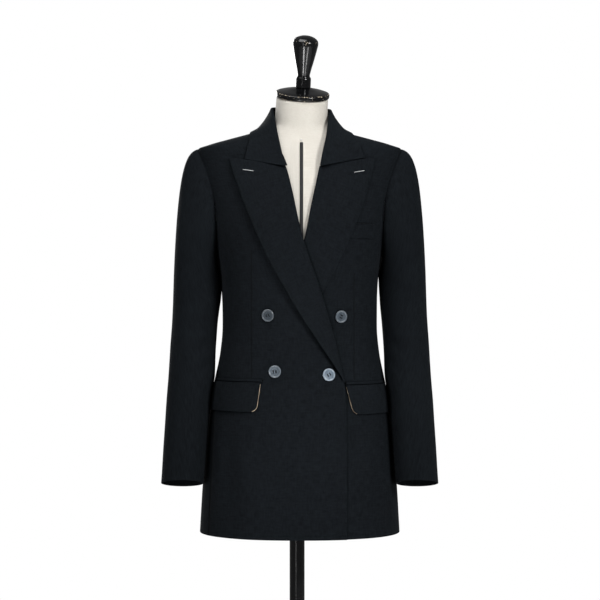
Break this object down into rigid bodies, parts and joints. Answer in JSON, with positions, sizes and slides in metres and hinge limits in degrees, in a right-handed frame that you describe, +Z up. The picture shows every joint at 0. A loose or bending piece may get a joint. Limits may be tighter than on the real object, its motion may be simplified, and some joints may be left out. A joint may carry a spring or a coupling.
{
  "type": "double-breasted blazer on a dress form",
  "caption": "Black double-breasted blazer with peak lapels, flap pockets and a breast welt, standing on a linen dress form with a turned finial, a pole and a round base.",
  "frame": {"origin": "centre of the bounding box's underside, on the floor under the base", "axes": "+Z up; the blazer's front faces -Y; +X is the wearer's left"},
  "size_m": [0.516, 0.38, 1.6014],
  "materials": {
    "wool": "matte wool twill",
    "tan_lining": "satin lining",
    "button_horn": "polished horn effect",
    "linen": "plain linen weave",
    "slot_felt": "matte",
    "lacquer": "black gloss lacquer, a little worn",
    "black_steel": "gloss black",
    "bright_steel": "polished"
  },
  "bodies": {
    "root": {"front_right": "wool", "front_left": "wool", "side_body_right": "wool", "side_body_left": "wool", "back_right": "wool", "back_left": "wool", "sleeve_upper_right": "wool", "sleeve_upper_left": "wool", "sleeve_under_right": "wool", "sleeve_under_left": "wool", "lapel_right": "wool", "lapel_left": "wool", "collar": "wool", "chest_welt": "wool", "pocket_jet_right": "wool", "pocket_jet_left": "wool", "pocket_flap_right": "wool", "pocket_flap_left": "wool", "flap_lining_right": "tan_lining", "flap_lining_left": "tan_lining", "button_upper_right": "button_horn", "button_upper_left": "button_horn", "button_lower_right": "button_horn", "button_lower_left": "button_horn", "form_torso": "linen", "form_slot": "slot_felt", "slot_pin": "bright_steel", "neck_cap": "lacquer", "neck_finial": "lacquer", "form_pole": "black_steel", "form_base": "black_steel"}
  },
  "joints": []
}
